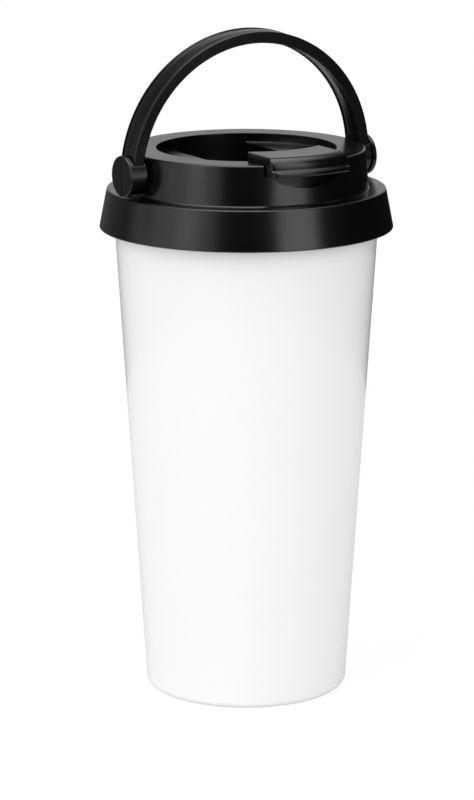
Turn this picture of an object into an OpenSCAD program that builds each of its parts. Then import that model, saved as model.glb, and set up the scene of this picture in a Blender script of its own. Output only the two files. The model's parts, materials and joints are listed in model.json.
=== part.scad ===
// Insulated tumbler with a screw lid, a flip flap over the drinking hole and an arched carrying handle.
// Millimetres, +Z up, origin at the centre of the base. The flap points to -Y, the handle turns about X.

/* [Cup] */
// Height of the steel cup, without its lid
cup_h = 163.8; // [120:0.1:240]
// Outer radius of the cup's wall, carried down to the floor
foot_r = 33.1; // [30:0.1:36]
// Outer radius of the cup's wall at its shoulder, just below the lid
shoulder_r = 42.9; // [42:0.1:44]
// Radius of the round at the shoulder
shoulder_round = 1; // [0.9:0.1:1.3]
// Distance from the shoulder to the rim
neck_h = 8.4; // [7.8:0.1:10]
// How far the neck that the lid screws over is set in from the shoulder
neck_step = 1.7; // [1.5:0.1:2.2]
// Thickness of the outer wall
shell_t = 0.5; // [0.4:0.1:0.8]
// Thickness of the inner wall
liner_t = 0.4; // [0.3:0.1:0.7]
// Width of the vacuum space between the walls
vacuum_w = 3.1; // [2.2:0.1:3.4]
// Radius of the round at the foot
foot_round = 2.4; // [1.5:0.1:4]
// Radius of the round at the bottom of the inside
floor_round = 8; // [4:0.5:12]
// Width of the flat ring that the cup stands on
stand_w = 3; // [2:0.5:6]
// How far the bottom plate is set up from the floor
plate_setback = 0.8; // [0.4:0.1:1.5]

/* [Lid] */
// Room for the thread between the neck and the inside of the skirt's upper edge
skirt_room = 2.3; // [2.2:0.1:3.4]
// How far the skirt flares out from its upper to its lower edge
skirt_flare = 2.3; // [1:0.1:3]
// Height of the skirt
skirt_h = 13; // [11:0.1:16]
// Radius of the round along the skirt's upper edge
skirt_round = 0.8; // [0.5:0.1:2]
// Wall thickness of the lid's mouldings
lid_t = 2; // [1.6:0.1:2.4]
// Width of the ledge between the skirt's upper edge and the drum
ledge_w = 5.8; // [5.2:0.1:6.4]
// How much the drum's radius shrinks from its foot to its rim
drum_draft = 1; // [0.4:0.1:1.4]
// Height of the drum above the ledge
drum_h = 13; // [12.6:0.1:16]
// Radius of the round along the drum's rim
drum_round = 0.8; // [0.3:0.1:1.5]
// Width of the flat rim round the recess
rim_w = 9.4; // [8.8:0.1:10.4]
// Depth of the two side ledges below the rim
ledge_depth = 3.2; // [2:0.1:3.5]
// How far the channel between the side ledges is wider than the flap, on each side
channel_side = 0.4; // [0.1:0.1:1]
// Depth of the channel below the rim
channel_depth = 11; // [10:0.1:11.5]
// Depth of the notch that the flap closes into
notch_depth = 3.7; // [3.4:0.1:4.2]
// Depth of the thumb scoop's lower edge below the rim
scoop_drop = 7.7; // [6:0.1:9]
// How deep the thumb scoop is cut into the drum
scoop_cut = 2; // [1:0.1:2.5]
// Depth of the plug that hangs inside the cup's mouth
plug_h = 12.9; // [11:0.1:18]
// Radius of the drinking hole
hole_r = 5.2; // [4.2:0.1:5.6]
// Distance of the drinking hole's middle from the wall of the recess
hole_setback = 8.8; // [8.3:0.1:9.6]

/* [Flap] */
// Half the width of the flap
flap_half_w = 14.2; // [11:0.1:14.4]
// Height of the flap's top above the rim
flap_rise = 2.6; // [2:0.1:4]
// How far the flap's front wall stands out from the drum's rim
flap_stand = 3.3; // [1.6:0.1:3.6]
// How far the flap reaches over the recess, behind the rim
flap_reach = 3.3; // [2.6:0.1:4.2]
// Radius of the round along the flap's front edge
flap_round = 2.8; // [0.8:0.1:3]
// Radius of the round along the flap's two side edges
flap_side_round = 1.4; // [0.4:0.1:1.8]
// Radius of the round at the flap's corners, seen from above
flap_corner = 2.2; // [0.6:0.1:2.6]
// How far the thumb lip stands out from the front wall
lip_out = 1.6; // [0.6:0.1:1.8]
// Height of the thumb lip
lip_h = 1.8; // [1.2:0.1:2.2]
// Distance of the flap's hinge from the lid's centre
flap_hinge_y = 10; // [9:0.1:11]
// Depth of the flap's hinge below the rim
hinge_drop = 5.7; // [5.4:0.1:6.2]
// Radius of the flap's hinge pin
flap_pin_r = 1; // [0.8:0.05:1.2]

/* [Handle] */
// Room between the drum's foot and the inside of the arch
arch_gap = 0.8; // [0.6:0.1:2]
// Thickness of the arch
arch_t = 3.8; // [3.2:0.1:4.2]
// Width of the arch
arch_w = 8.8; // [6.8:0.1:9.4]
// Depth of the groove beside each bead of the arch
groove_depth = 0.35; // [0.2:0.05:0.6]
// Width of the raised bead along each edge of the arch
bead_w = 0.6; // [0.5:0.1:1.2]
// Radius of the arch's edges
arch_round = 0.4; // [0.2:0.1:0.8]
// How far the handle leans to the front, in degrees from upright
handle_lean = 3; // [0:1:20]
// Height of the handle's pivot above the skirt's ledge
pivot_rise = 7; // [6.8:0.1:8]
// Radius of the round hubs at the arch's ends
hub_r = 6; // [5.2:0.1:6.2]
// Radius of the caps on the pivot pins
cap_r = 6.7; // [5.5:0.1:6.9]
// Thickness of the caps on the pivot pins
cap_t = 1.5; // [0.8:0.05:1.6]
// Radius of the pivot pins
pin_r = 2.5; // [2:0.1:3]

/* [Clearances] */
// Gap between the cup's rim and the lid's flange
seat_gap = 0.3; // [0.2:0.05:0.5]
// Gap between the gasket and the wall that it presses on
gasket_gap = 0.25; // [0.15:0.05:0.4]
// Radial running clearance of a pin in its bore
run_gap = 0.06; // [0.02:0.01:0.09]
// Gap beside a piece that turns
side_gap = 0.3; // [0.2:0.05:0.5]
// Overlap of a pin pressed into its seat
press = 0.02; // [0.01:0.01:0.05]

/* [Hidden] */
$fn = 96;
// Segments in a drawn round
round_n = 8;
// Overshoot of a cut past a surface
eps = 0.01;
over = 1;
// How much further from the centre an outline is led past a round corner
lead = 1.2;

// Cup
shoulder_z = cup_h - neck_h;
neck_r = shoulder_r - neck_step;
wall_slope = (shoulder_r - foot_r) / shoulder_z;
wall_angle = atan(wall_slope);
function wall_r(z) = foot_r + z * wall_slope;
shoulder_rise = 1.8;
shoulder_turn = 60;
lip_t = 0.7;
neck_wall = 1.75;
lip_z = cup_h - lip_t;
liner_inset = shell_t + vacuum_w + liner_t;
liner_floor_z = 6.5;
mouth_r = neck_r - neck_wall;
flare_h = 3.5;
flare_drop = 1;
shell_end_t = 0.6;
shell_end_rise = 0.4;
shell_end_z = foot_round + shell_end_rise;
getter_r = 6;
getter_t = 1.6;
plate_t = 0.8;
plate_dome = 0.6;
plate_lap = 1;
foot_edge_r = foot_r + foot_round * wall_slope - foot_round / cos(wall_angle);

// Lid heights
flange_z = cup_h + seat_gap;
flange_t = 1.2;
ledge_under_z = flange_z + flange_t;
ledge_z = ledge_under_z + lid_t;
skirt_z = ledge_z - skirt_h;
rim_z = ledge_z + drum_h;
channel_z = rim_z - channel_depth;
channel_under_z = channel_z - lid_t;
side_ledge_z = rim_z - ledge_depth;
notch_z = rim_z - notch_depth;
scoop_z = rim_z - scoop_drop;

// Lid radii, each carried from the neck that the lid fits over
skirt_top_r = neck_r + skirt_room + lid_t;
skirt_r = skirt_top_r + skirt_flare;
drum_foot_r = skirt_top_r - ledge_w;
drum_top_r = drum_foot_r - drum_draft;
recess_r = drum_top_r - rim_w;
channel_half_w = flap_half_w + channel_side;
hole_y = recess_r - hole_setback;
edge_round = 0.4;
recess_round = 0.2;
edge_n = 4;
fillet = 0.3;
ledge_fillet = 0.5;
skirt_lean = 9;
drum_lean = 5;
well_t = 1.8;
inner_r = recess_r + lid_t;
flange_reach = 1.1;
flange_r = neck_r + flange_reach;
plug_gap = 1.85;
plug_r = mouth_r - plug_gap;
rib_gap = 1.05;
rib_r = mouth_r - rib_gap;
rib_t = 0.8;
plug_bevel = 1;
gasket_h = 3.2;
// Gasket outline: parts of its reach and of its height
gasket_root = 0.55;
gasket_waist = 0.6;
gasket_lip_z = [0.2, 0.45, 0.7];
gasket_drop = 7;
gasket_z = flange_z - gasket_drop;
plug_floor_t = 1.5;
plug_z = flange_z - plug_h;
duct_t = 1.4;
vent_setback = 10.3;
vent_y = recess_r - vent_setback;
vent_r = 1.6;
vent_head_r = 3.2;
vent_head_t = 1.2;
vent_bevel = 0.5;
vent_gap = 0.1;

// Flap
notch_side = 0.5;
notch_half_w = flap_half_w + notch_side;
flap_z = notch_z + side_gap;
flap_top_z = rim_z + flap_rise;
flap_front_r = drum_top_r + flap_stand;
flap_back_r = recess_r - flap_reach;
flap_back_round = 0.8;
lip_r = flap_front_r + lip_out;
lip_round = 0.6;
flap_hinge_z = rim_z - hinge_drop;
pin_seat = 1.4;
pin_end_gap = 0.2;
barrel_t = 1.3;
barrel_r = flap_pin_r + barrel_t;
arm_half_w = channel_half_w - 2 * side_gap;
arm_gap = 0.7;
arm_front_r = recess_r - arm_gap;
arm_t = 2.6;
arm_rise = 0.3;
arm_z = flap_hinge_z - barrel_r + arm_rise;
stopper_dip = 1.6;
stopper_step = 1.2;
stopper_lap = 1.2;
scoop_inset = 0.4;
scoop_half_w = notch_half_w - scoop_inset;
scoop_n = 180;
scoop_sag = scoop_drop - notch_depth;
scoop_r = (scoop_half_w * scoop_half_w + scoop_sag * scoop_sag) / (2 * scoop_sag);
front_block_half_w = notch_half_w + lid_t;

// Handle
pivot_z = ledge_z + pivot_rise;
arch_in_r = drum_foot_r + arch_gap;
arch_r = arch_in_r + arch_t;
hub_in_stand = 0.05;
hub_out_stand = 0.2;
hub_in_x = sqrt(arch_in_r * arch_in_r - hub_r * hub_r) - hub_in_stand;
hub_out_x = arch_r + hub_out_stand;
boss_x = hub_in_x - side_gap;
boss_step = 1.8;
boss_r = hub_r - boss_step;
boss_core_t = 2.4;
boss_core_r = pin_r + boss_core_t;
seat_wall = 1.2;
pin_in_x = inner_r + seat_wall;
cap_in_x = hub_out_x + side_gap / 2;
cap_out_x = cap_in_x + cap_t;
cap_round = 0.5;
face_groove_w = 0.3;
face_groove_d = 0.15;
groove_wall = 0.2;
groove_slope = 2.4;
groove_rise = 0.05;
groove_end = 1.1;

// Points of a round, from angle a0 to a1 about (x, y)
function arc(x, y, r, a0, a1, n = round_n) =
    [for (i = [0:n]) let (a = a0 + (a1 - a0) * i / n) [x + r * cos(a), y + r * sin(a)]];
function reversed(list) = [for (i = [len(list) - 1:-1:0]) list[i]];

// One side of the outer wall, set in by t from its outer face
function shell_side(t) =
    concat(
        [[foot_edge_r - stand_w, t]],
        arc(foot_edge_r, foot_round, foot_round - t, -90, -wall_angle),
        arc(shoulder_r - shoulder_round, shoulder_z, shoulder_round - t, -wall_angle, shoulder_turn),
        [[neck_r - t, shoulder_z + shoulder_rise], [neck_r - t, lip_z]]);

// One side of the inner wall, set out by t from its inner face
function liner_side(t) =
    let (corner_z = liner_floor_z + floor_round,
         corner_r = wall_r(corner_z) - liner_inset - floor_round,
         flare_z = shoulder_z - flare_drop)
    concat(
        [[0, liner_floor_z - t]],
        arc(corner_r, corner_z, floor_round + t, -90, -wall_angle),
        [[wall_r(flare_z) - liner_inset + t, flare_z], [mouth_r + t, flare_z + flare_h]]);

module outer_shell() {
    color("white")
    rotate_extrude()
    polygon(concat(shell_side(0), reversed(shell_side(shell_t))));
}

module inner_liner() {
    color("silver")
    rotate_extrude()
    polygon(concat(
        liner_side(0),
        [[mouth_r, cup_h - lip_t / 2]],
        arc(mouth_r + lip_t / 2, cup_h - lip_t / 2, lip_t / 2, 180, 90),
        arc(neck_r - lip_t / 2, cup_h - lip_t / 2, lip_t / 2, 90, 0),
        [[neck_r, lip_z], [mouth_r + liner_t, lip_z]],
        reversed(liner_side(liner_t))));
}

module shell_end() {
    color("silver")
    translate([0, 0, shell_end_z])
    cylinder(r = wall_r(shell_end_z) - shell_t / cos(wall_angle) - 0.1, h = shell_end_t);
}

module getter() {
    color("dimgray")
    translate([0, 0, shell_end_z + shell_end_t])
    cylinder(r = getter_r, h = getter_t);
}

module base_plate() {
    plate_r = foot_edge_r - stand_w;
    dome_r = plate_r / 4;
    dome_z = plate_setback + plate_dome;
    top_z = plate_setback + plate_t;
    color("silver")
    rotate_extrude()
    polygon([
        [0, dome_z], [dome_r, dome_z], [dome_r + 2 * plate_dome, plate_setback],
        [plate_r - 10 * eps, plate_setback], [plate_r - 10 * eps, shell_t],
        [plate_r + plate_lap, shell_t], [plate_r + plate_lap, top_z],
        [dome_r + 2 * plate_dome, top_z], [dome_r, dome_z + plate_t], [0, dome_z + plate_t]]);
}

// Skirt, ledge, drum and rim as one hollow turned form, without the recess
module cover_form() {
    rotate_extrude()
    polygon(concat(
        arc(skirt_r - edge_round, skirt_z + edge_round, edge_round, -90, 0, edge_n),
        arc(skirt_top_r - skirt_round, ledge_z - skirt_round, skirt_round, skirt_lean, 90),
        [[drum_foot_r + fillet, ledge_z], [drum_foot_r, ledge_z + fillet]],
        arc(drum_top_r - drum_round, rim_z - drum_round, drum_round, drum_lean, 90),
        arc(recess_r + recess_round, rim_z - recess_round, recess_round, 90, 180, edge_n),
        [[recess_r, side_ledge_z - lid_t], [inner_r, side_ledge_z - lid_t], [inner_r, rim_z - lid_t],
         [drum_top_r - lid_t, rim_z - lid_t], [drum_foot_r - lid_t, ledge_under_z],
         [skirt_top_r - lid_t - fillet, ledge_under_z], [skirt_r - lid_t - fillet, skirt_z]]));
}

// A slab across the lid, as wide as the given half width, inside radius r
module cross_slab(half_w, r, z0, z1) {
    intersection() {
        translate([-half_w, -r - over, z0])
        cube([2 * half_w, 2 * (r + over), z1 - z0]);
        translate([0, 0, z0 - over])
        cylinder(r = r, h = z1 - z0 + 2 * over);
    }
}

// The same slab, in front of the lid's middle and outside radius r0
module front_slab(half_w, r0, r1, z0, z1) {
    difference() {
        intersection() {
            translate([-half_w, -r1 - over, z0])
            cube([2 * half_w, r1 + over, z1 - z0]);
            translate([0, 0, z0 - over])
            cylinder(r = r1, h = z1 - z0 + 2 * over);
        }
        translate([0, 0, z0 - over])
        cylinder(r = r0, h = z1 - z0 + 2 * over);
    }
}

// The floor of the recess: two side ledges and the deeper channel between them
module well_form() {
    difference() {
        union() {
            translate([0, 0, side_ledge_z - lid_t])
            cylinder(r = recess_r + lid_t / 2, h = lid_t);
            rotate_extrude()
            polygon(concat(
                [[recess_r - ledge_fillet, side_ledge_z - eps], [recess_r + eps, side_ledge_z - eps],
                 [recess_r + eps, side_ledge_z + ledge_fillet]],
                arc(recess_r - ledge_fillet, side_ledge_z + ledge_fillet, ledge_fillet, 0, -90, edge_n)));
            cross_slab(channel_half_w + well_t, inner_r, channel_under_z, side_ledge_z - eps);
        }
        cross_slab(channel_half_w, recess_r, channel_z, side_ledge_z + over);
    }
}

module thumb_scoop() {
    intersection() {
        front_slab(scoop_half_w + over, drum_top_r - scoop_cut, skirt_r, scoop_z - over, notch_z + eps);
        translate([0, 0, scoop_z + scoop_r])
        rotate([90, 0, 0])
        cylinder(r = scoop_r, h = skirt_r, $fn = scoop_n);
    }
}

module lid_cover() {
    color([0.09, 0.09, 0.10])
    difference() {
        union() {
            cover_form();
            well_form();
            front_slab(front_block_half_w, inner_r - eps, drum_top_r - lid_t / 2,
                       scoop_z - lid_t, rim_z - lid_t / 2);
            for (side = [-1, 1])
                translate([side * inner_r, 0, pivot_z])
                rotate([0, side * 90, 0]) {
                    cylinder(r = boss_core_r, h = boss_x - inner_r - over);
                    translate([0, 0, drum_top_r - lid_t / 2 - inner_r])
                    cylinder(r = boss_r, h = boss_x - drum_top_r + lid_t / 2);
                }
        }
        front_slab(notch_half_w, recess_r - over, skirt_r, notch_z, rim_z + over);
        thumb_scoop();
        translate([0, -hole_y, channel_under_z - over])
        cylinder(r = hole_r, h = lid_t + 2 * over);
        translate([0, vent_y, channel_under_z - over])
        cylinder(r = vent_r, h = lid_t + 2 * over);
        for (side = [-1, 1])
            translate([side * pin_in_x, 0, pivot_z])
            rotate([0, side * 90, 0])
            cylinder(r = pin_r - press, h = boss_x - pin_in_x + over);
        translate([-channel_half_w - pin_seat, -flap_hinge_y, flap_hinge_z])
        rotate([0, 90, 0])
        cylinder(r = flap_pin_r - press, h = 2 * (channel_half_w + pin_seat));
    }
}

module lid_plug() {
    color([0.13, 0.13, 0.14])
    difference() {
        union() {
            rotate_extrude()
            polygon([
                [0, plug_z], [plug_r - plug_bevel, plug_z], [plug_r, plug_z + plug_bevel],
                [plug_r, gasket_z - rib_t], [rib_r, gasket_z - rib_t], [rib_r, gasket_z],
                [plug_r, gasket_z], [plug_r, gasket_z + gasket_h], [rib_r, gasket_z + gasket_h],
                [rib_r, flange_z], [flange_r, flange_z],
                [flange_r, ledge_under_z], [plug_r - lid_t, ledge_under_z],
                [plug_r - lid_t, plug_z + plug_floor_t], [0, plug_z + plug_floor_t]]);
            translate([0, -hole_y, plug_z + eps])
            cylinder(r = hole_r + duct_t, h = channel_under_z - plug_z - eps);
            translate([0, vent_y, plug_z + eps])
            cylinder(r = vent_r + duct_t, h = channel_under_z - plug_z - eps);
        }
        translate([0, -hole_y, plug_z - over])
        cylinder(r = hole_r, h = channel_under_z - plug_z + 2 * over);
        translate([0, vent_y, plug_z - over])
        cylinder(r = vent_r, h = channel_under_z - plug_z + 2 * over);
    }
}

module lid_gasket() {
    reach = mouth_r - gasket_gap - plug_r;
    lip_x = plug_r + reach;
    waist_x = plug_r + reach * gasket_waist;
    color("lightgray")
    rotate_extrude()
    polygon([
        [plug_r, gasket_z], [plug_r + reach * gasket_root, gasket_z],
        [lip_x, gasket_z + gasket_h * gasket_lip_z[0]], [waist_x, gasket_z + gasket_h * gasket_lip_z[1]],
        [lip_x, gasket_z + gasket_h * gasket_lip_z[2]], [waist_x, gasket_z + gasket_h],
        [plug_r, gasket_z + gasket_h]]);
}

module vent_valve() {
    color("lightgray")
    translate([0, vent_y, 0])
    rotate_extrude()
    polygon([
        [0, channel_under_z], [vent_r - vent_gap, channel_under_z], [vent_r - vent_gap, channel_z],
        [vent_head_r, channel_z], [vent_head_r - vent_bevel, channel_z + vent_head_t],
        [0, channel_z + vent_head_t]]);
}

module flap_pin() {
    color("silver")
    translate([-channel_half_w - pin_seat + pin_end_gap, -flap_hinge_y, flap_hinge_z])
    rotate([0, 90, 0])
    cylinder(r = flap_pin_r, h = 2 * (channel_half_w + pin_seat - pin_end_gap));
}

// Section of the saddle that closes over the rim
module saddle_section() {
    polygon(concat(
        [[flap_back_r, flap_z], [flap_front_r, flap_z]],
        arc(flap_front_r - flap_round, flap_top_z - flap_round, flap_round, 0, 90),
        arc(flap_back_r + flap_back_round, flap_top_z - flap_back_round, flap_back_round, 90, 180, edge_n)));
}

// Section of the thumb lip, a low rail along the foot of the saddle's front wall
module lip_section() {
    polygon(concat(
        [[flap_front_r - lip_out, flap_z], [lip_r - lip_round, flap_z]],
        arc(lip_r - lip_round, flap_z + lip_round, lip_round, -90, 0, edge_n),
        arc(lip_r - lip_round, flap_z + lip_h - lip_round, lip_round, 0, 90, edge_n),
        [[flap_front_r + fillet, flap_z + lip_h], [flap_front_r, flap_z + lip_h + fillet],
         [flap_front_r - lip_out, flap_z + lip_h + fillet]]));
}

// The saddle seen from the front: straight sides with rounded upper edges
module flap_elevation() {
    rotate([90, 0, 0])
    linear_extrude(height = skirt_r)
    polygon(concat(
        [[-flap_half_w, flap_z - over], [flap_half_w, flap_z - over]],
        arc(flap_half_w - flap_side_round, flap_top_z - flap_side_round, flap_side_round, 0, 90),
        arc(flap_side_round - flap_half_w, flap_top_z - flap_side_round, flap_side_round, 90, 180)));
}

// One front corner seen from above, rounded into a front of radius r and then led out past it
function plan_corner(r, side) =
    let (cx = flap_half_w - flap_corner,
         cy = -sqrt(pow(r - flap_corner + 2 * eps, 2) - cx * cx),
         turn = atan2(cy, cx),
         run = concat(arc(cx, cy, flap_corner, 0, turn), [[cx * lead, cy * lead]]))
    [for (p = run) [side * p[0], p[1]]];

// One back corner seen from above, led in from the middle and rounded out of a back edge of radius r
function back_corner(r, side) =
    let (cx = flap_half_w - flap_corner,
         cy = -sqrt(pow(r + flap_corner - 2 * eps, 2) - cx * cx),
         turn = atan2(-cy, -cx),
         run = concat([[cx / lead / lead, cy / lead / lead]], arc(cx, cy, flap_corner, turn, 0)))
    [for (p = run) [side * p[0], p[1]]];

// The saddle or its lip seen from above: straight sides with rounded corners
module flap_plan(r) {
    translate([0, 0, flap_z - over])
    linear_extrude(height = flap_top_z - flap_z + 2 * over)
    polygon(concat(
        back_corner(flap_back_r, 1), plan_corner(r, 1),
        reversed(plan_corner(r, -1)), reversed(back_corner(flap_back_r, -1))));
}

module flap() {
    color([0.10, 0.10, 0.11])
    difference() {
        union() {
            intersection() {
                rotate_extrude()
                saddle_section();
                flap_elevation();
                flap_plan(flap_front_r);
            }
            intersection() {
                rotate_extrude()
                lip_section();
                flap_plan(lip_r);
            }
            intersection() {
                translate([-arm_half_w, -recess_r, arm_z])
                cube([2 * arm_half_w, recess_r - flap_hinge_y, arm_t]);
                translate([0, 0, arm_z - over])
                cylinder(r = arm_front_r, h = arm_t + 2 * over);
            }
            front_slab(arm_half_w, flap_back_r, arm_front_r, arm_z, flap_z + over);
            translate([-arm_half_w, -flap_hinge_y, flap_hinge_z])
            rotate([0, 90, 0])
            cylinder(r = barrel_r, h = 2 * arm_half_w);
        }
        translate([-arm_half_w - over, -flap_hinge_y, flap_hinge_z])
        rotate([0, 90, 0])
        cylinder(r = flap_pin_r + run_gap, h = 2 * arm_half_w + 2 * over);
    }
}

module flap_stopper() {
    dip_r = hole_r - side_gap;
    dip_z = channel_z - stopper_dip;
    neck_in_r = hole_r - stopper_step;
    lap_r = hole_r + stopper_lap;
    lap_z = channel_z + side_gap;
    color("gray")
    translate([0, -hole_y, 0])
    rotate_extrude()
    polygon([
        [0, dip_z], [dip_r - stopper_step, dip_z], [dip_r, channel_z],
        [dip_r, lap_z], [lap_r, lap_z], [lap_r - fillet, lap_z + stopper_step],
        [neck_in_r, lap_z + stopper_step], [neck_in_r, arm_z], [0, arm_z]]);
}

// Section of the arch, a flat bar with rounded edges and its outer face at +X
module arch_section() {
    w = arch_w / 2 - arch_round;
    t = arch_t / 2 - arch_round;
    translate([arch_r - arch_t / 2, 0])
    polygon(concat(
        arc(t, -w, arch_round, -90, 0, edge_n), arc(t, w, arch_round, 0, 90, edge_n),
        arc(-t, w, arch_round, 90, 180, edge_n), arc(-t, -w, arch_round, 180, 270, edge_n)));
}

// Section cut from a face at radius r: a groove beside each bead, and slopes up to the middle
module groove_section(r, inward) {
    bead_y = arch_w / 2 - bead_w;
    dip_y = bead_y - groove_wall;
    rise_y = dip_y - groove_slope;
    out_r = r + inward * groove_depth;
    out_y = bead_y + groove_wall;
    dip_r = r - inward * groove_depth;
    rise_r = r - inward * groove_rise;
    polygon([
        [out_r, -out_y], [dip_r, -dip_y], [rise_r, -rise_y],
        [rise_r, rise_y], [dip_r, dip_y], [out_r, out_y]]);
}

// The grooves along the arch's two faces, which stop short of the hubs in a round end
module arch_grooves() {
    difference() {
        rotate([90, 0, 0])
        rotate_extrude(angle = 180) {
            groove_section(arch_r, 1);
            groove_section(arch_in_r, -1);
        }
        translate([-arch_r - over, 0, 0])
        rotate([0, 90, 0])
        cylinder(r = hub_r + groove_end, h = 2 * (arch_r + over));
    }
}

module handle() {
    color([0.10, 0.10, 0.11])
    translate([0, 0, pivot_z])
    rotate([handle_lean, 0, 0])
    difference() {
        union() {
            difference() {
                rotate([90, 0, 0])
                rotate_extrude(angle = 180)
                arch_section();
                arch_grooves();
            }
            for (side = [-1, 1])
                rotate([0, side * 90, 0])
                translate([0, 0, hub_in_x])
                cylinder(r = hub_r, h = hub_out_x - hub_in_x);
        }
        for (side = [-1, 1])
            rotate([0, side * 90, 0])
            translate([0, 0, hub_in_x - over])
            cylinder(r = pin_r + run_gap, h = hub_out_x - hub_in_x + 2 * over);
    }
}

// Headed pin along X: its shaft is pressed into the drum's boss and its cap covers the hub
module handle_pin(side) {
    color([0.10, 0.10, 0.11])
    translate([0, 0, pivot_z])
    rotate([0, side * 90, 0])
    difference() {
        union() {
            translate([0, 0, pin_in_x])
            cylinder(r = pin_r, h = cap_in_x - pin_in_x + eps);
            rotate_extrude()
            polygon(concat(
                [[0, cap_in_x], [cap_r, cap_in_x]],
                arc(cap_r - cap_round, cap_out_x - cap_round, cap_round, 0, 90, edge_n),
                [[0, cap_out_x]]));
        }
        translate([-cap_r - over, -face_groove_w / 2, cap_out_x - face_groove_d])
        cube([2 * (cap_r + over), face_groove_w, over]);
    }
}

module handle_pin_left() {
    handle_pin(-1);
}

module handle_pin_right() {
    handle_pin(1);
}

outer_shell();
inner_liner();
shell_end();
getter();
base_plate();
lid_cover();
lid_plug();
lid_gasket();
vent_valve();
flap_pin();
flap();
flap_stopper();
handle();
handle_pin_left();
handle_pin_right();
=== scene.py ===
import json
import math

import bmesh
import bpy
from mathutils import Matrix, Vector


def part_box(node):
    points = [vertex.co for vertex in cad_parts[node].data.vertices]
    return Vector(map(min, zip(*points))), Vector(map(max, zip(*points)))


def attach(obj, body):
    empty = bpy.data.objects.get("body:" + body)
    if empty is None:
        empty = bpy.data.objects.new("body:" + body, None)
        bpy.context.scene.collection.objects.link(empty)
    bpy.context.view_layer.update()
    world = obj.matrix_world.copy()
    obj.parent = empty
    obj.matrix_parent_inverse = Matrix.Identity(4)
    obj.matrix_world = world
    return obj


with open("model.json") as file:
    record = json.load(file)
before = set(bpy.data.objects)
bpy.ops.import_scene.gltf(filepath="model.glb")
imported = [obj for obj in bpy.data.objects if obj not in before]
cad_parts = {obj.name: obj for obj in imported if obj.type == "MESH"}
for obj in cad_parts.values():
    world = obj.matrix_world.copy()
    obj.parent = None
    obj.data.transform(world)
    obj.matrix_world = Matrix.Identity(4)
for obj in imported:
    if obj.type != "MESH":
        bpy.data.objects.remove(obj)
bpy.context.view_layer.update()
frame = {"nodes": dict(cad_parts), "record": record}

MM = 0.001
WHITE = (1, 1, 1, 1)

# Camera: where it stands, seen from the cup's axis, and how it looks at it
CAMERA_AZIMUTH = math.radians(-30.5)
CAMERA_DISTANCE = 1.100
CAMERA_HEIGHT = 0.355
CAMERA_PITCH = math.radians(-13.25)
CAMERA_TURN = math.radians(0.159)
CAMERA_LENS = 154.3
SENSOR_HEIGHT = 36.0

# The horizontal directions from the cup towards the camera, and to the camera's right
TO_CAMERA = Vector((math.sin(CAMERA_AZIMUTH), -math.cos(CAMERA_AZIMUTH), 0))
TO_RIGHT = Vector((math.cos(CAMERA_AZIMUTH), math.sin(CAMERA_AZIMUTH), 0))


def around(angle):
    """Horizontal direction at this many degrees to the right of the camera, seen from the cup."""
    turn = math.radians(angle)
    return TO_CAMERA * math.cos(turn) + TO_RIGHT * math.sin(turn)


def make_camera():
    data = bpy.data.cameras.new("camera")
    data.sensor_fit = "VERTICAL"
    data.sensor_height = SENSOR_HEIGHT
    data.lens = CAMERA_LENS
    camera = bpy.data.objects.new("camera", data)
    bpy.context.scene.collection.objects.link(camera)
    camera.location = TO_CAMERA * CAMERA_DISTANCE + Vector((0, 0, CAMERA_HEIGHT))
    ahead = -(TO_CAMERA * math.cos(CAMERA_TURN) + TO_RIGHT * math.sin(CAMERA_TURN))
    look = ahead * math.cos(CAMERA_PITCH) + Vector((0, 0, math.sin(CAMERA_PITCH)))
    camera.rotation_euler = look.to_track_quat("-Z", "Y").to_euler()
    bpy.context.scene.camera = camera


def put(tree, kind, inputs=None, **settings):
    """A new shader node; an input is a plain value or another node's output."""
    made = tree.nodes.new(kind)
    for key, value in settings.items():
        setattr(made, key, value)
    for key, value in (inputs or {}).items():
        if isinstance(value, bpy.types.NodeSocket):
            tree.links.new(value, made.inputs[key])
        else:
            made.inputs[key].default_value = value
    return made


def grey(level, tint=0.0):
    """The colour of a grey; the tint makes it warmer."""
    return (level, level * (1 - tint / 2), level * (1 - tint), 1)


def math_node(tree, operation, first, second):
    return put(tree, "ShaderNodeMath", {0: first, 1: second}, operation=operation).outputs[0]


def remap(tree, value, span, new_span, smooth=False):
    """The value carried from one span, given by its two ends, to another, and held at the ends."""
    ends = {"From Min": span[0], "From Max": span[1], "To Min": new_span[0], "To Max": new_span[1]}
    kind = "SMOOTHSTEP" if smooth else "LINEAR"
    made = put(tree, "ShaderNodeMapRange", {"Value": value, **ends}, interpolation_type=kind)
    return made.outputs["Result"]


# Softboxes: tall lamps side by side on the left and one on the right. Each has its angle round the cup
# and its spread as seen from the cup, in degrees, and its radiance. LAMP_POWER is the power that a lamp
# needs for each square metre and unit of radiance
SOFTBOX_DISTANCE = 1.25
SOFTBOX_HEIGHT = 1.7
LAMP_POWER = 4
SOFTBOXES = {
    "softbox_right": (41, 32, 1.76),
    "softbox_front_left": (-31, 14, 0.75),
    "softbox_left": (-47, 18, 1.45),
    "softbox_side_left": (-67, 22, 0.85),
    "softbox_far_left": (-89, 22, 0.40),
}


def softbox(name, angle, spread, radiance):
    width = 2 * SOFTBOX_DISTANCE * math.tan(math.radians(spread / 2))
    data = bpy.data.lights.new(name, "AREA")
    data.shape = "RECTANGLE"
    data.size = width
    data.size_y = SOFTBOX_HEIGHT
    data.energy = LAMP_POWER * radiance * width * SOFTBOX_HEIGHT
    lamp = bpy.data.objects.new(name, data)
    bpy.context.scene.collection.objects.link(lamp)
    lamp.location = around(angle) * SOFTBOX_DISTANCE + Vector((0, 0, SOFTBOX_HEIGHT / 2))
    lamp.rotation_euler = (-around(angle)).to_track_quat("-Z", "Y").to_euler()
    lamp.visible_camera = False


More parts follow.
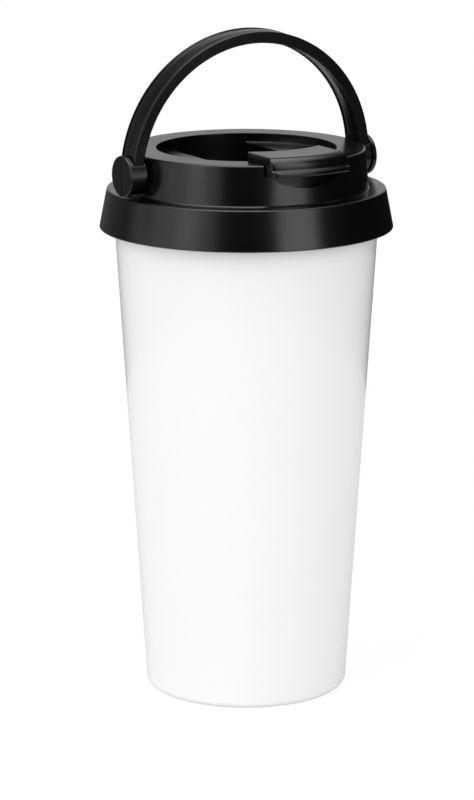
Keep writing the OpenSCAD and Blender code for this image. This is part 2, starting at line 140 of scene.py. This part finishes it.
# Room: the soft light from all round, with more of it on the left. A fade is the two cosines, of the
# angle from a light's middle, between which the light grows from nothing to full
ROOM_LIGHT = 0.545
LEFT_FILL = 0.28
FILL_ANGLE = -110
FILL_FADE = (-0.2, 1.0)

# The white ground that the camera sees
GROUND_LIGHT = 1.0

# Mirrored room: what glossy surfaces show, a bright ground behind the cup, a faint left and a lit ceiling
FRONT_SHINE = 0.01
BACK_SHINE = 0.58
BACK_ANGLE = 180
BACK_RISE = 18
BACK_FADE = (0.86, 0.96)
LEFT_SHINE = 0.14
LEFT_ANGLE = -125
LEFT_FADE = (0.55, 0.85)
TOP_SHINE = 3.6
TOP_FADE = (0.70, 0.96)


def towards(tree, direction, angle, rise=0):
    """How closely a ray points to this angle round the cup and this rise above the floor, in degrees."""
    lift = math.radians(rise)
    aim = around(angle) * math.cos(lift) + Vector((0, 0, math.sin(lift)))
    made = put(tree, "ShaderNodeVectorMath", {0: direction, 1: aim}, operation="DOT_PRODUCT")
    return made.outputs["Value"]


def background(tree, strength):
    return put(tree, "ShaderNodeBackground", {"Color": WHITE, "Strength": strength}).outputs[0]


def make_world():
    world = bpy.data.worlds.new("studio")
    bpy.context.scene.world = world
    world.use_nodes = True
    world.cycles.sampling_method = "NONE"
    tree = world.node_tree
    tree.nodes.clear()
    ray = put(tree, "ShaderNodeLightPath").outputs
    direction = put(tree, "ShaderNodeTexCoord").outputs["Generated"]
    height = put(tree, "ShaderNodeSeparateXYZ", {0: direction}).outputs[2]
    behind = towards(tree, direction, BACK_ANGLE, BACK_RISE)
    back = remap(tree, behind, BACK_FADE, (0, BACK_SHINE), smooth=True)
    left = remap(tree, towards(tree, direction, LEFT_ANGLE), LEFT_FADE, (0, LEFT_SHINE), smooth=True)
    top = remap(tree, height, TOP_FADE, (0, TOP_SHINE), smooth=True)
    lobes = math_node(tree, "MAXIMUM", math_node(tree, "MAXIMUM", back, left), top)
    shine = math_node(tree, "ADD", lobes, FRONT_SHINE)
    room_levels = (ROOM_LIGHT, ROOM_LIGHT + LEFT_FILL)
    fill = remap(tree, towards(tree, direction, FILL_ANGLE), FILL_FADE, room_levels, smooth=True)
    indirect = put(tree, "ShaderNodeMixShader",
                   {0: ray["Is Glossy Ray"], 1: background(tree, fill), 2: background(tree, shine)})
    direct = math_node(tree, "MAXIMUM", ray["Is Camera Ray"], ray["Is Transmission Ray"])
    ground = background(tree, GROUND_LIGHT)
    both = put(tree, "ShaderNodeMixShader", {0: direct, 1: indirect.outputs[0], 2: ground})
    put(tree, "ShaderNodeOutputWorld", {"Surface": both.outputs[0]})


# Floor: a round white table top that fades into the white ground. It shows the cup's shadow by this
# share near the cup and by none of it past the outer radius
FLOOR_RADIUS = 0.42
FLOOR_SIDES = 96
FLOOR_DROP = 0.1 * MM
FLOOR_COLOUR = 0.85
SHADOW_RADII = (0.10, 0.30)
SHADOW_SHARE = 0.18

# How bright the camera sees the open floor where lamps alone light it: the glow makes up the rest
FLOOR_LEVEL = 0.66


def floor_finish():
    mat = bpy.data.materials.new("floor")
    mat.use_nodes = True
    tree = mat.node_tree
    tree.nodes.clear()
    ray = put(tree, "ShaderNodeLightPath").outputs
    place = put(tree, "ShaderNodeTexCoord").outputs["Object"]
    distance = put(tree, "ShaderNodeVectorMath", {0: place}, operation="LENGTH").outputs["Value"]
    share = remap(tree, distance, SHADOW_RADII, (SHADOW_SHARE, 0), smooth=True)
    white = math_node(tree, "SUBTRACT", 1, share)
    rest = math_node(tree, "SUBTRACT", 1, math_node(tree, "MULTIPLY", share, FLOOR_LEVEL))
    strength = math_node(tree, "DIVIDE", rest, white)
    lit = put(tree, "ShaderNodeBsdfDiffuse", {"Color": grey(FLOOR_COLOUR)})
    glow = put(tree, "ShaderNodeEmission", {"Color": WHITE, "Strength": strength})
    seen = put(tree, "ShaderNodeMixShader", {0: white, 1: lit.outputs[0], 2: glow.outputs[0]})
    both = put(tree, "ShaderNodeMixShader",
               {0: ray["Is Camera Ray"], 1: lit.outputs[0], 2: seen.outputs[0]})
    put(tree, "ShaderNodeOutputMaterial", {"Surface": both.outputs[0]})
    return mat


def make_floor():
    mesh = bpy.data.meshes.new("floor")
    shape = bmesh.new()
    bmesh.ops.create_circle(shape, cap_ends=True, segments=FLOOR_SIDES, radius=FLOOR_RADIUS)
    shape.to_mesh(mesh)
    shape.free()
    floor = bpy.data.objects.new("floor", mesh)
    bpy.context.scene.collection.objects.link(floor)
    floor.location.z = -FLOOR_DROP
    floor.data.materials.append(floor_finish())


# Finishes: levels are greys from 0 to 1, tints turn a grey warmer, scales are noise cells in a metre and
# depths are how high a bump stands. NOISE_SPAN is the part of the noise that spans a finish's roughness.
# A roughness span stays on one side of 0.274: across it, denoising leaves smears on the surface.
NOISE_SPAN = (0.3, 0.7)

COAT_LEVELS = (0.89, 0.91)
COAT_TINTS = (0.004, 0.002)
COAT_CLOUD_SCALE = 30
COAT_ROUGHNESS = (0.19, 0.26)
COAT_PEEL_SCALE = 700
COAT_PEEL_DEPTH = 0.01 * MM
COAT_PEEL_STRENGTH = 0.25

PLASTICS = {
    "lid_plastic": {"level": 0.002, "roughness": 0.235, "scale": 5200, "depth": 0.015 * MM},
    "plug_plastic": {"level": 0.012, "roughness": 0.42, "scale": 4200, "depth": 0.03 * MM},
    "flap_plastic": {"level": 0.002, "roughness": 0.235, "scale": 5200, "depth": 0.02 * MM},
    "handle_plastic": {"level": 0.002, "roughness": 0.235, "scale": 4600, "depth": 0.015 * MM},
}
PLASTIC_LEVEL_SHARES = (0.7, 1.4)
PLASTIC_GLOSS_SCALE = 45
PLASTIC_GLOSS_CHANGE = 0.03
PLASTIC_GRAIN_STRENGTH = 0.5

STEEL_LEVEL = 0.62
STEEL_PATCH_SHARE = 0.93
STEEL_TINTS = (0.03, 0.02)
STEEL_PATCH_SCALE = 55
STEEL_ROUGHNESS = (0.28, 0.44)
STEEL_RING_SCALE = 2600
STEEL_RING_DEPTH = 0.01 * MM
STEEL_RING_STRENGTH = 0.4

GETTER_LEVELS = (0.12, 0.3)
GETTER_TINTS = (0.06, 0.05)
GETTER_ROUGHNESS = (0.5, 0.75)
GETTER_GRIT_SCALE = 3000
GETTER_GRIT_DEPTH = 0.06 * MM
GETTER_GRIT_STRENGTH = 0.7

SILICONE_LEVELS = (0.055, 0.085)
SILICONE_DUST_SCALE = 120
SILICONE_ROUGHNESS = (0.5, 0.62)
SILICONE_SKIN_SCALE = 1500
SILICONE_SKIN_DEPTH = 0.02 * MM
SILICONE_SKIN_STRENGTH = 0.5

# Sockets of the Mix node when it mixes colours
MIX_FACTOR = 0
MIX_FIRST = 6
MIX_SECOND = 7
MIX_RESULT = 2


def finish_of(name, **fixed):
    """A new material with these fixed values on its shader."""
    mat = bpy.data.materials.new(name)
    mat.use_nodes = True
    shader = mat.node_tree.nodes["Principled BSDF"]
    for key, value in fixed.items():
        shader.inputs[key.replace("_", " ")].default_value = value
    return mat, mat.node_tree, shader


def noise(tree, place, scale, detail, rough=0.5):
    made = put(tree, "ShaderNodeTexNoise",
               {"Vector": place, "Scale": scale, "Detail": detail, "Roughness": rough})
    return made.outputs["Fac"]


def bump(tree, shader, height, depth, strength):
    made = put(tree, "ShaderNodeBump", {"Height": height, "Distance": depth, "Strength": strength})
    tree.links.new(made.outputs["Normal"], shader.inputs["Normal"])


def blend_colour(tree, shader, factor, first, second):
    made = put(tree, "ShaderNodeMix", {MIX_FACTOR: factor, MIX_FIRST: first, MIX_SECOND: second},
               data_type="RGBA")
    tree.links.new(made.outputs[MIX_RESULT], shader.inputs["Base Color"])


def vary_roughness(tree, shader, factor, span):
    tree.links.new(remap(tree, factor, NOISE_SPAN, span), shader.inputs["Roughness"])


def painted_coat():
    """Glossy white coating with the faint waviness of sprayed paint."""
    mat, tree, shader = finish_of("white_coat", Coat_Weight=0.35, Coat_Roughness=0.06, IOR=1.5)
    place = put(tree, "ShaderNodeTexCoord").outputs["Object"]
    peel = noise(tree, place, COAT_PEEL_SCALE, detail=1)
    cloud = noise(tree, place, COAT_CLOUD_SCALE, detail=2)
    first, second = map(grey, COAT_LEVELS, COAT_TINTS)
    blend_colour(tree, shader, cloud, first, second)
    vary_roughness(tree, shader, cloud, COAT_ROUGHNESS)
    bump(tree, shader, peel, COAT_PEEL_DEPTH, COAT_PEEL_STRENGTH)
    return mat


def moulded_plastic(name, level, roughness, scale, depth):
    """Satin moulding: a fine eroded grain and a slow change of gloss."""
    mat, tree, shader = finish_of(name, IOR=1.49)
    place = put(tree, "ShaderNodeTexCoord").outputs["Object"]
    grain = noise(tree, place, scale, detail=3, rough=0.6)
    gloss = noise(tree, place, PLASTIC_GLOSS_SCALE, detail=2)
    first, second = (grey(level * share) for share in PLASTIC_LEVEL_SHARES)
    blend_colour(tree, shader, grain, first, second)
    span = (roughness - PLASTIC_GLOSS_CHANGE, roughness + PLASTIC_GLOSS_CHANGE)
    vary_roughness(tree, shader, gloss, span)
    bump(tree, shader, grain, depth, PLASTIC_GRAIN_STRENGTH)
    return mat


def turned_steel():
    """Stainless steel with the fine rings of turning and spinning round the cup's axis."""
    mat, tree, shader = finish_of("steel", Metallic=1.0, Anisotropic=0.4)
    place = put(tree, "ShaderNodeTexCoord").outputs["Object"]
    axis = put(tree, "ShaderNodeSeparateXYZ", {0: place}).outputs
    flat = put(tree, "ShaderNodeCombineXYZ", {0: axis[0], 1: axis[1]}).outputs[0]
    radius = put(tree, "ShaderNodeVectorMath", {0: flat}, operation="LENGTH").outputs["Value"]
    ring_place = put(tree, "ShaderNodeCombineXYZ", {0: radius, 1: axis[2]}).outputs[0]
    ring = noise(tree, ring_place, STEEL_RING_SCALE, detail=4, rough=0.7)
    patch = noise(tree, place, STEEL_PATCH_SCALE, detail=2)
    first, second = map(grey, (STEEL_LEVEL * STEEL_PATCH_SHARE, STEEL_LEVEL), STEEL_TINTS)
    blend_colour(tree, shader, patch, first, second)
    vary_roughness(tree, shader, ring, STEEL_ROUGHNESS)
    bump(tree, shader, ring, STEEL_RING_DEPTH, STEEL_RING_STRENGTH)
    return mat


def sintered_metal():
    """The getter's dull, gritty pellet."""
    mat, tree, shader = finish_of("getter_metal", Metallic=0.8)
    place = put(tree, "ShaderNodeTexCoord").outputs["Object"]
    grit = noise(tree, place, GETTER_GRIT_SCALE, detail=4, rough=0.7)
    first, second = map(grey, GETTER_LEVELS, GETTER_TINTS)
    blend_colour(tree, shader, grit, first, second)
    vary_roughness(tree, shader, grit, GETTER_ROUGHNESS)
    bump(tree, shader, grit, GETTER_GRIT_DEPTH, GETTER_GRIT_STRENGTH)
    return mat


def soft_silicone():
    """Dark silicone with a matt skin and the faint sheen that dust gives it."""
    mat, tree, shader = finish_of("silicone", Sheen_Weight=0.15, Sheen_Roughness=0.4, IOR=1.42)
    place = put(tree, "ShaderNodeTexCoord").outputs["Object"]
    skin = noise(tree, place, SILICONE_SKIN_SCALE, detail=3, rough=0.6)
    dust = noise(tree, place, SILICONE_DUST_SCALE, detail=3)
    first, second = map(grey, SILICONE_LEVELS)
    blend_colour(tree, shader, dust, first, second)
    vary_roughness(tree, shader, skin, SILICONE_ROUGHNESS)
    bump(tree, shader, skin, SILICONE_SKIN_DEPTH, SILICONE_SKIN_STRENGTH)
    return mat


def make_finishes():
    finishes = {
        "white_coat": painted_coat(),
        "steel": turned_steel(),
        "getter_metal": sintered_metal(),
        "silicone": soft_silicone(),
    }
    for name, look in PLASTICS.items():
        finishes[name] = moulded_plastic(name, **look)
    return finishes


def dress_nodes(finishes):
    """Each CAD node takes the finish of its slot in the record."""
    for part in frame["record"]["subparts"]:
        mesh = frame["nodes"][part["node"]].data
        mesh.materials.clear()
        mesh.materials.append(finishes[part["material_slot"]])


def add_piece(shape, name, body, slot, finishes):
    """The bmesh becomes a smooth piece that rides on the body and has the slot's finish."""
    mesh = bpy.data.meshes.new(name)
    bmesh.ops.recalc_face_normals(shape, faces=shape.faces)
    shape.to_mesh(mesh)
    shape.free()
    mesh.shade_smooth()
    mesh.materials.append(finishes[slot])
    piece = bpy.data.objects.new(name, mesh)
    bpy.context.scene.collection.objects.link(piece)
    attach(piece, body)


def sweep(count, section, closed):
    """A band through this many rings, which section(i) gives; its ends are capped unless it is closed."""
    shape = bmesh.new()
    rings = [[shape.verts.new(p) for p in section(i)] for i in range(count)]
    size = len(rings[0])
    for i in range(count if closed else count - 1):
        here, there = rings[i], rings[(i + 1) % count]
        for k in range(size):
            after = (k + 1) % size
            shape.faces.new((here[k], here[after], there[after], there[k]))
    if not closed:
        shape.faces.new(rings[0])
        shape.faces.new(rings[-1])
    return shape


# Threads between the neck and the skirt, each with its lowest point. The lid's thread reaches from the
# skirt's wall, which leans in by the lean for each unit of rise, to a gap outside the neck's thread
NECK_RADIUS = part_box("inner_liner")[1].x
NECK_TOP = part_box("inner_liner")[1].z
SKIRT_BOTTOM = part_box("lid_cover")[0].z
THREAD_PITCH = 3.0 * MM
THREAD_HEIGHT = 0.9 * MM
THREAD_HALF_W = 0.8 * MM
THREAD_TURNS = 1.15
THREAD_STEPS = 260
THREAD_GAP = 0.25 * MM
NECK_THREAD_DROP = 5.0 * MM
NECK_THREAD_START = NECK_TOP - NECK_THREAD_DROP
LID_THREAD_LIFT = 3.2 * MM
LID_THREAD_START = SKIRT_BOTTOM + LID_THREAD_LIFT
LID_THREAD_TIP = NECK_RADIUS + THREAD_HEIGHT + THREAD_GAP
LID_THREAD_HEIGHT = 2.4 * MM
LID_THREAD_LEAN = 0.2

# The share of the thread over which each end fades out, and the share of its height left at the end
THREAD_RUN_OUT = 0.06
THREAD_END = 0.02

# The ridge's rounded outline: shares of the half width across it and of the height out of the wall
THREAD_PROFILE = [(-1.0, -0.25), (-0.75, 0.35), (-0.4, 0.85), (0.0, 1.0),
                  (0.4, 0.85), (0.75, 0.35), (1.0, -0.25)]


def thread(name, tip_radius, height, side, lean, start_z, body, slot, finishes):
    """A helical ridge that stands outwards, with side 1, or inwards, with side -1."""
    def section(i):
        share = i / (THREAD_STEPS - 1)
        turn = 2 * math.pi * THREAD_TURNS * share
        fade = min(1.0, share / THREAD_RUN_OUT, (1 - share) / THREAD_RUN_OUT)
        fade = max(THREAD_END, math.sin(fade * math.pi / 2))
        rise = THREAD_PITCH * THREAD_TURNS * share
        root_radius = tip_radius - side * height - lean * rise
        reach = height - lean * rise
        ring = []
        for across, out in THREAD_PROFILE:
            radius = root_radius + side * reach * (out * fade if out > 0 else out)
            height_here = start_z + rise + across * THREAD_HALF_W * fade
            ring.append((radius * math.cos(turn), radius * math.sin(turn), height_here))
        return ring

    add_piece(sweep(THREAD_STEPS, section, closed=False), name, body, slot, finishes)


def make_threads(finishes):
    thread("neck_thread", NECK_RADIUS + THREAD_HEIGHT, THREAD_HEIGHT, 1, 0,
           NECK_THREAD_START, "cup", "steel", finishes)
    thread("lid_thread", LID_THREAD_TIP, LID_THREAD_HEIGHT, -1, LID_THREAD_LEAN,
           LID_THREAD_START, "lid", "lid_plastic", finishes)


# Weld bead where the bottom plate meets the foot, with the ripples' share of its width
BEAD_INSET = 1.05 * MM
BEAD_LIFT = 0.35 * MM
BEAD_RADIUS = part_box("base_plate")[1].x - BEAD_INSET
BEAD_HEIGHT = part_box("base_plate")[0].z + BEAD_LIFT
BEAD_HALF_W = 0.28 * MM
BEAD_STEPS = 360
BEAD_SIDES = 8
BEAD_RIPPLES = 120
BEAD_RIPPLE_SHARE = 0.12


def make_weld_bead(finishes):
    """A ring of weld with fine ripples along it."""
    def section(i):
        turn = 2 * math.pi * i / BEAD_STEPS
        swell = BEAD_HALF_W * (1 + BEAD_RIPPLE_SHARE * math.sin(turn * BEAD_RIPPLES))
        ring = []
        for k in range(BEAD_SIDES):
            lean = 2 * math.pi * k / BEAD_SIDES
            radius = BEAD_RADIUS + swell * math.cos(lean)
            height = BEAD_HEIGHT + swell * math.sin(lean)
            ring.append((radius * math.cos(turn), radius * math.sin(turn), height))
        return ring

    add_piece(sweep(BEAD_STEPS, section, closed=True), "weld_bead", "cup", "steel", finishes)


make_camera()
make_world()
for name, (angle, spread, radiance) in SOFTBOXES.items():
    softbox(name, angle, spread, radiance)
make_floor()
finishes = make_finishes()
dress_nodes(finishes)
make_threads(finishes)
make_weld_bead(finishes)
bpy.context.scene.view_settings.view_transform = "Standard"
